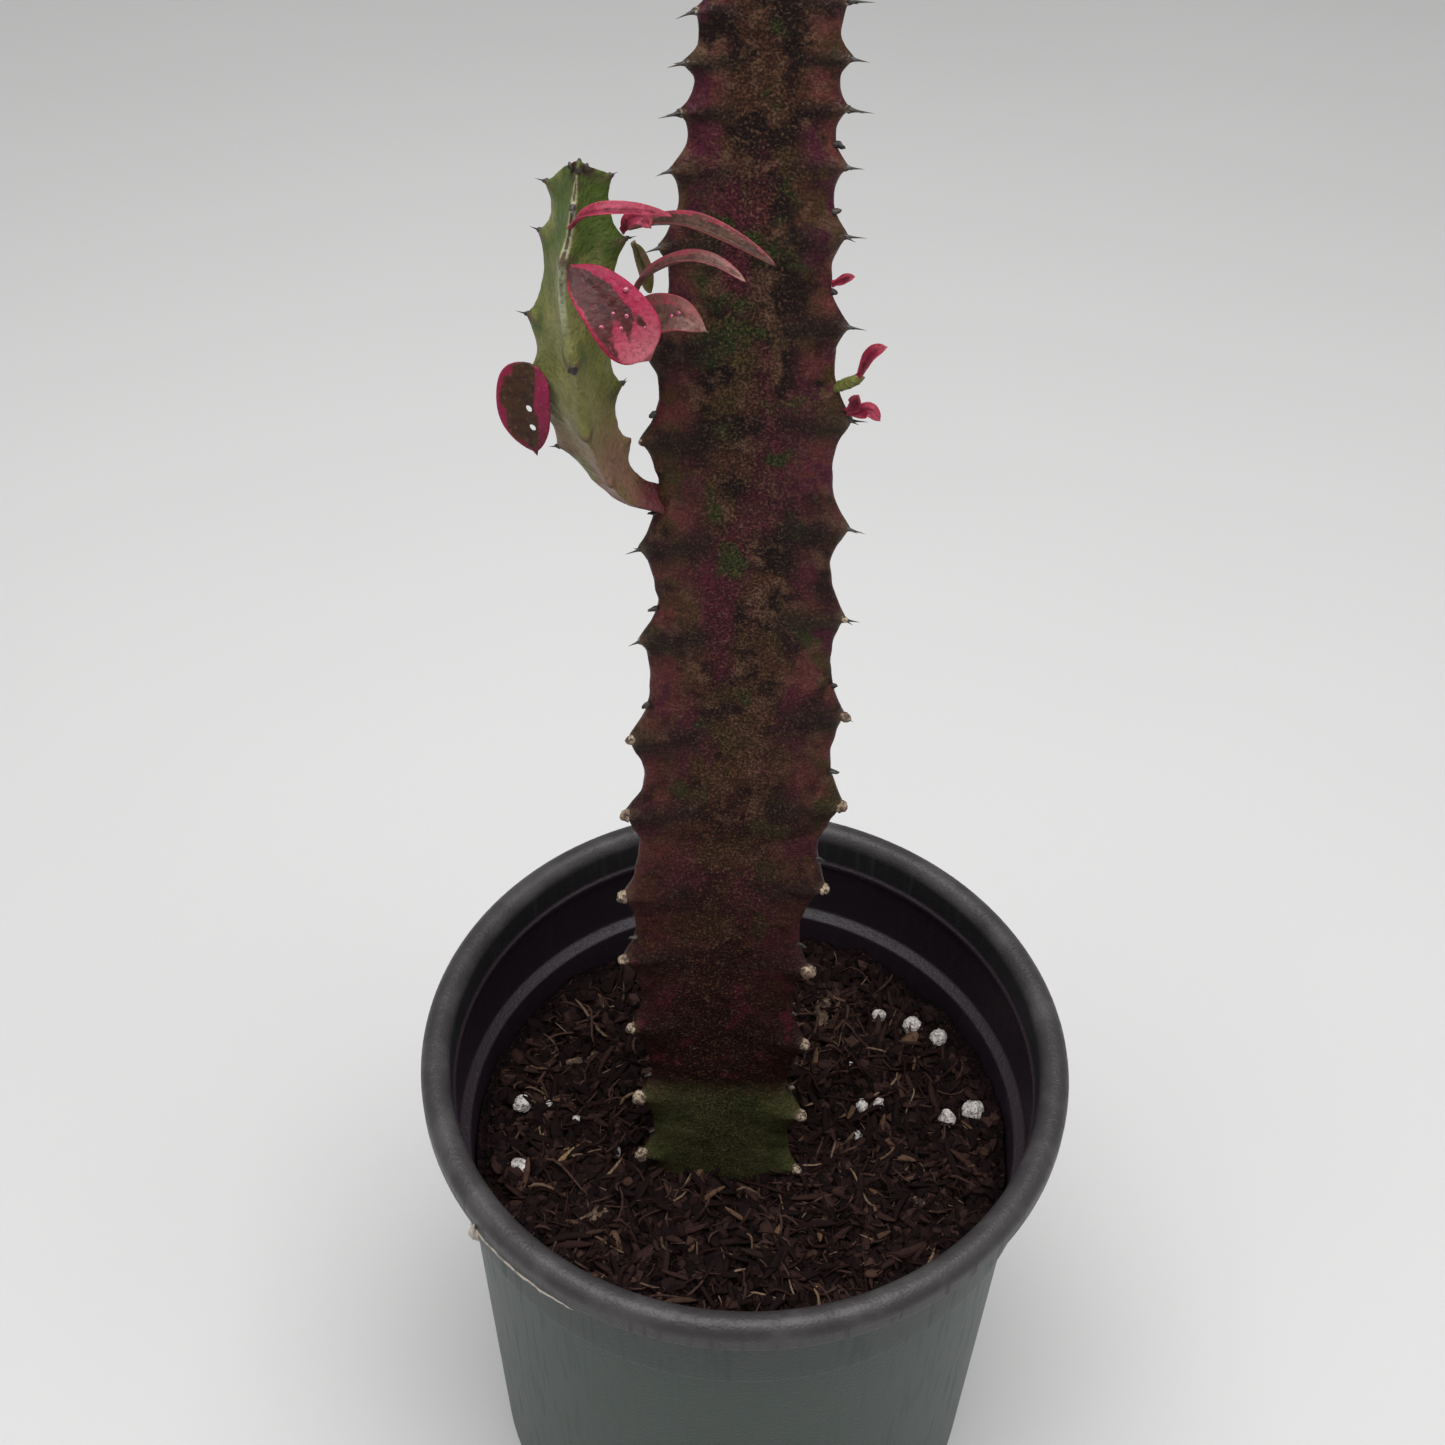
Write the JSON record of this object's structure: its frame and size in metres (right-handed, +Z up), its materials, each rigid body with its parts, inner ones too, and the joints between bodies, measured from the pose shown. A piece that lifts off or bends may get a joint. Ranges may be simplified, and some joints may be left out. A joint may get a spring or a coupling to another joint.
{
  "type": "potted euphorbia",
  "caption": "Toothed three-sided succulent stem with a side branch and small pink leaves, planted in a round nursery pot.",
  "frame": {"origin": "centre of the pot's foot on the surface it stands on", "axes": "+Z up along the plant, +X to the right and -Y towards the front"},
  "size_m": [0.1, 0.1, 0.2763],
  "materials": {
    "pot_plastic": "moulded polypropylene, scuffed",
    "potting_mix": "damp fibrous peat and bark",
    "stem_skin": "waxy maroon-brown skin with olive mottling and pale corky teeth",
    "branch_skin": "waxy green skin with a pale mid rib, brown at its foot",
    "leaf_skin": "smooth crimson leaf with a dark centre and pale margin",
    "perlite": "white expanded mineral grain",
    "bark": "weathered bark and wood"
  },
  "bodies": {
    "root": {"bark_chip_back": "bark", "bark_chip_front": "bark", "bark_chip_left": "bark", "bark_chip_right": "bark", "bud_leaf": "leaf_skin", "edge_leaf_lower": "leaf_skin", "edge_leaf_upper": "leaf_skin", "leaf_behind_broad": "leaf_skin", "leaf_edge_speck": "leaf_skin", "leaf_front_broad": "leaf_skin", "leaf_long_arched": "leaf_skin", "leaf_low_left": "leaf_skin", "leaf_rear_strap": "leaf_skin", "leaf_short_arched": "leaf_skin", "leaf_small_curled": "leaf_skin", "leaf_upper_arched": "leaf_skin", "main_stem": "stem_skin", "perlite_01": "perlite", "perlite_02": "perlite", "perlite_03": "perlite", "perlite_04": "perlite", "perlite_05": "perlite", "perlite_06": "perlite", "perlite_07": "perlite", "perlite_08": "perlite", "perlite_09": "perlite", "perlite_10": "perlite", "perlite_11": "perlite", "perlite_12": "perlite", "perlite_13": "perlite", "perlite_14": "perlite", "pot": "pot_plastic", "potting_mix": "potting_mix", "side_branch": "branch_skin", "side_bud": "branch_skin", "tip_leaf_back": "leaf_skin", "tip_leaf_left": "leaf_skin", "tip_leaf_right": "leaf_skin", "wood_sliver_left": "bark", "wood_sliver_long": "bark", "wood_sliver_right": "bark"}
  },
  "joints": []
}
